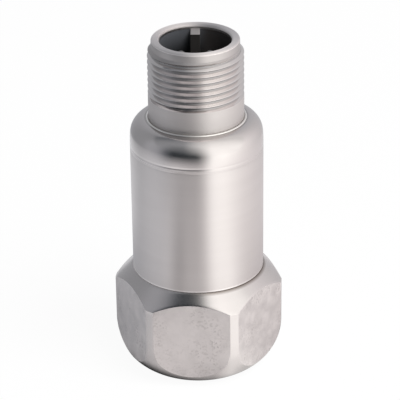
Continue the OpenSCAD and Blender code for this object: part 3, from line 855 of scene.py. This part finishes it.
# Cap: a turned stainless dome with a rounded shoulder, welded to the body. A spigot under it locates it,
# and a thin braze bead stands around the connector's neck.
CAP_TOP = 44.75
CAP_UNDER = 42.95
SHOULDER_R = 2.8
SHOULDER_Z = CAP_TOP - SHOULDER_R
SHOULDER_ROWS = 20
SIDE_TURN = math.radians(5)
SIDE_Z = 40.5
SIDE_ROWS = 5
SEAT_R = 6.8375
SHELL_R = 7.9375
BEAD_R = 0.21
BEAD_OUT = 0.24
BEAD_SINK = 0.04
BEAD_FROM = math.radians(12)
BEAD_ROWS = 10
BEAD_SHADE_REACH = 0.35
BRAZE_FINISH = 1
weld_z = SEAM_Z + WELD_HALF
section = [(SEAT_R, CAP_UNDER), (CAVITY_R, CAP_UNDER), (CAVITY_R, SEAM_Z - SPIGOT_LEN + FIT),
           (SPIGOT_R - FIT, SEAM_Z - SPIGOT_LEN + FIT), (SPIGOT_R - FIT, SEAM_Z), (BODY_R, SEAM_Z),
           (BODY_R, weld_z - WELD_MARK), (BODY_R - WELD_DEPTH / 2, weld_z), (BODY_R, weld_z + WELD_MARK)]
side_r = (SHOULDER_Z - SIDE_Z) / math.sin(SIDE_TURN) + SHOULDER_R
for i in range(SIDE_ROWS):
    turn = SIDE_TURN * i / SIDE_ROWS
    section.append((BODY_R - side_r * (1 - math.cos(turn)), SIDE_Z + side_r * math.sin(turn)))
shoulder_x = BODY_R - side_r + (side_r - SHOULDER_R) * math.cos(SIDE_TURN)
for i in range(SHOULDER_ROWS + 1):
    turn = SIDE_TURN + (math.pi / 2 - SIDE_TURN) * i / SHOULDER_ROWS
    section.append((shoulder_x + SHOULDER_R * math.cos(turn), SHOULDER_Z + SHOULDER_R * math.sin(turn)))
for i in range(BEAD_ROWS + 1):
    turn = BEAD_FROM + (math.pi - 2 * BEAD_FROM) * i / BEAD_ROWS
    section.append((SHELL_R + BEAD_OUT + BEAD_R * math.cos(turn),
                    CAP_TOP - BEAD_SINK + BEAD_R * math.sin(turn)))
section += [(SHELL_R, CAP_TOP), (SEAT_R, CAP_TOP)]
bm = bmesh.new()
lathe(bm, section, closed=True)
for f in bm.faces:
    if f.calc_center_median().z > (CAP_TOP + CLOSE) * MM:
        f.material_index = BRAZE_FINISH
turned_cap = turned_steel("turned_cap", (0.62, 0.59, 0.58), (0.66, 0.63, 0.62), rings=5000, rough=0.19,
                          spread=0.02, depth=3e-7, anisotropic=0.2)
# Painted shade on the cap, darkest at the foot of the braze bead and fading outwards
bead_edge = SHELL_R + BEAD_OUT + BEAD_R
shade_roots(turned_cap, bead_edge, bead_edge + BEAD_SHADE_REACH, (0.42, 0.40, 0.39))
braze = turned_steel("braze", (0.88, 0.86, 0.83), (0.94, 0.92, 0.89), rings=2500, rough=0.28, spread=0.04,
                     depth=1e-6)
cap = settle("cap_turned", bm, turned_cap, braze)
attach(cap, "root")
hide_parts("top_cap")

# Connector shell: turned from stainless with a single-point thread for the plug's nut, a plain pilot at the
# rim and a key broached in its bore. It is brazed into the cap.
NECK_TOP = 48.75
THREAD_PITCH = 1.0583
SHELL_TURNS = 8
THREAD_TOP = NECK_TOP + SHELL_TURNS * THREAD_PITCH
THREAD_ROOT_R = 7.2875
RIM_Z = 58.601
SOCKET_R = 5.95
RIM_OUTER_R = 0.28
RIM_INNER_R = 0.4
RIM_ROWS = 7
RUN_OUT = 3
TOP_PILOT = 0.6
KEY_ANGLE = math.radians(96)
KEY_HALF = 0.8
KEY_T = 1.6
KEY_DROP, KEY_LEN = 0.75, 8
KEY_TOP = RIM_Z - KEY_DROP
KEY_BOTTOM = KEY_TOP - KEY_LEN
KEY_SLOPE = 0.4
FACES_UP = 0.5
SHELL_SHARP = math.radians(25)
BORE_FINISH, THREAD_FINISH, RIM_FINISH, KEY_FINISH, PILOT_FINISH = 1, 2, 3, 4, 5
section = [(THREAD_ROOT_R, THREAD_TOP)]
for centre_r, edge_r, start in ((THREAD_ROOT_R - RIM_OUTER_R, RIM_OUTER_R, 0),
                                (SOCKET_R + RIM_INNER_R, RIM_INNER_R, math.pi / 2)):
    for i in range(RIM_ROWS + 1):
        turn = start + math.pi / 2 * i / RIM_ROWS
        section.append((centre_r + edge_r * math.cos(turn), RIM_Z - edge_r * (1 - math.sin(turn))))
section += [(SOCKET_R, KEY_TOP), (SOCKET_R, KEY_BOTTOM), (SOCKET_R, CAP_UNDER), (SEAT_R, CAP_UNDER),
            (SEAT_R, CAP_TOP), (SHELL_R, CAP_TOP), (SHELL_R, NECK_TOP)]
bm = bmesh.new()
lathe(bm, section)
key_way = Vector((math.cos(KEY_ANGLE), math.sin(KEY_ANGLE), 0))
key_side = Vector((-key_way.y, key_way.x, 0))
key_faces = []
for f in bm.faces:
    centre = f.calc_center_median() / MM
    if (abs(centre.xy.length - SOCKET_R) < FIT and KEY_BOTTOM < centre.z < KEY_TOP
            and centre.dot(key_way) > 0 and abs(centre.dot(key_side)) < KEY_HALF):
        key_faces.append(f)
grown = bmesh.ops.extrude_face_region(bm, geom=key_faces)["geom"]
bmesh.ops.delete(bm, geom=key_faces, context="FACES")
key_verts = [v for v in grown if isinstance(v, bmesh.types.BMVert)]
reach = [v.co.dot(key_side) for v in key_verts]
for v in key_verts:
    side = KEY_HALF * MM * (2 * (v.co.dot(key_side) - min(reach)) / (max(reach) - min(reach)) - 1)
    z = v.co.z - (KEY_SLOPE * MM if v.co.z > (KEY_TOP + KEY_BOTTOM) / 2 * MM else 0)
    v.co = key_way * (SOCKET_R - KEY_T) * MM + key_side * side + Vector((0, 0, z))
bmesh.ops.recalc_face_normals(bm, faces=bm.faces)
for f in bm.faces:
    centre = f.calc_center_median() / MM
    if centre.xy.length < SOCKET_R + FIT and centre.z < KEY_TOP + FIT and f.normal.z < FACES_UP:
        f.material_index = KEY_FINISH if centre.xy.length < SOCKET_R - FIT else BORE_FINISH
    elif centre.z > RIM_Z - RIM_INNER_R:
        f.material_index = RIM_FINISH
break_edges(bm, EDGE_BREAK, sharp=SHELL_SHARP)
thread(bm, SHELL_R, THREAD_ROOT_R, THREAD_PITCH, NECK_TOP, THREAD_TOP, SHELL_R, THREAD_ROOT_R,
       lambda r, z: max(min(r, THREAD_ROOT_R + THREAD_TOP - z), SHELL_R - RUN_OUT * (z - NECK_TOP)),
       THREAD_FINISH)
for f in bm.faces:
    if f.material_index in (0, THREAD_FINISH) and f.calc_center_median().z > (THREAD_TOP - TOP_PILOT) * MM:
        f.material_index = PILOT_FINISH
turned_shell = turned_steel("turned_shell", (0.58, 0.555, 0.545), (0.63, 0.60, 0.59), rings=6000,
                            rough=0.49, spread=0.03, depth=1e-6)
oxide_and_shade_bore = turned_steel("oxide_and_shade_bore", (0.09, 0.094, 0.104), (0.115, 0.12, 0.13), rings=3000, rough=0.5,
                          spread=0.05, depth=1e-6, metal=0.0)
# The bore has a dark oxide finish, with painted shade: blacker with depth, and darker and browner on its
# right side
DEPTH_SHADE_FROM, DEPTH_SHADE_TO = 1.2, 4.2
SIDE_SHADE_WAY, SIDE_SHADE_FROM, SIDE_SHADE_TO = Vector((1, 0, 0)), 0, 1.5
paint_shading(oxide_and_shade_bore, (0.02, 0.021, 0.023), (DOWN, DEPTH_SHADE_FROM - RIM_Z, DEPTH_SHADE_TO - RIM_Z))
paint_shading(oxide_and_shade_bore, (0.052, 0.047, 0.046), (SIDE_SHADE_WAY, SIDE_SHADE_FROM, SIDE_SHADE_TO))
# Painted sheen: the thread is coloured lighter than the rest of the shell's steel
cut_thread_sheen = turned_steel("cut_thread_sheen", (0.68, 0.65, 0.64), (0.76, 0.73, 0.72), rings=4000, rough=0.11,
                          spread=0.03, depth=1e-6)
# Painted shade in the roots of the cut thread
ROOT_SHADE_FROM, ROOT_SHADE_TO = 0.02, 0.24
shade_roots(cut_thread_sheen, THREAD_ROOT_R + ROOT_SHADE_FROM, THREAD_ROOT_R + ROOT_SHADE_TO, (0.35, 0.34, 0.34))
# Painted sheen: the faced rim is coloured much lighter than the rest of the shell's steel
faced_rim_sheen = turned_steel("faced_rim_sheen", (0.90, 0.86, 0.845), (0.96, 0.92, 0.905), rings=3000, rough=0.48,
                         spread=0.03, depth=1e-6, anisotropic=0.9)
# Painted shade: the key's sides and front are painted near black, darker than the bore, while its top keeps
# the shell's steel
shaded_key = turned_steel("shaded_key", (0.025, 0.023, 0.022), (0.04, 0.037, 0.035), rings=3000, rough=0.5,
                         spread=0.05, depth=1e-6, metal=0.0)
# Painted shade: the pilot is coloured darker than the rest of the shell's steel
turned_pilot_shade = turned_steel("turned_pilot_shade", (0.50, 0.478, 0.47), (0.54, 0.515, 0.505), rings=5000,
                            rough=0.36, spread=0.03, depth=1e-6)
shell = settle("connector_turned", bm, turned_shell, oxide_and_shade_bore, cut_thread_sheen, faced_rim_sheen, shaded_key,
               turned_pilot_shade)
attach(shell, "root")
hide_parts("connector_shell")

# Glass seal: a bead of dark glass, fused in the bore around both pins.
# It holds them and keeps the body airtight.
fused_glass = moulded("fused_glass", (0.085, 0.10, 0.10), (0.115, 0.135, 0.135), grain=900, rough=0.09,
                      spread=0.03, depth=2e-6)
dress("glass_seal", fused_glass)

# Contact pins: two plated round-nosed pins, turned from rod.
# Each has a collar that is fused in the glass and a solder cup at its lower end.
PIN_R = 0.7875
PIN_DROP = 2.22
PIN_TIP = RIM_Z - PIN_DROP
COLLAR_R = 1.1375
CUP_R = 1.0375
LEAD_R = 0.4
SEAL_Z = 43.15
SEAL_TOP = 47.35
CUP_Z = 40.95
CUP_FLOOR = 42.55
PIN_STEPS = 40
NOSE_ROWS = 8
# Painted shade: the pins are coloured dark grey, for the shade deep in the socket
pin_metal_shaded = turned_steel("plated_pin_shaded", (0.30, 0.293, 0.287), (0.36, 0.352, 0.344), rings=4000, rough=0.35,
                         spread=0.03, depth=5e-7)
for node in ("contact_pin_a", "contact_pin_b"):
    section = [(0, CUP_FLOOR), (LEAD_R, CUP_FLOOR), (LEAD_R, CUP_Z), (CUP_R, CUP_Z), (CUP_R, SEAL_Z),
               (COLLAR_R, SEAL_Z), (COLLAR_R, SEAL_TOP), (PIN_R, SEAL_TOP)]
    for i in range(NOSE_ROWS + 1):
        turn = math.pi / 2 * i / NOSE_ROWS
        section.append((PIN_R * math.cos(turn) if i < NOSE_ROWS else 0,
                        PIN_TIP - PIN_R * (1 - math.sin(turn))))
    bm = bmesh.new()
    lathe(bm, section, steps=PIN_STEPS)
    low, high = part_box(node)
    bmesh.ops.translate(bm, verts=bm.verts, vec=((low.x + high.x) / 2, (low.y + high.y) / 2, 0))
    pin = settle(node + "_plated", bm, pin_metal_shaded)
    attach(pin, "root")
    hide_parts(node)

low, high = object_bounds()
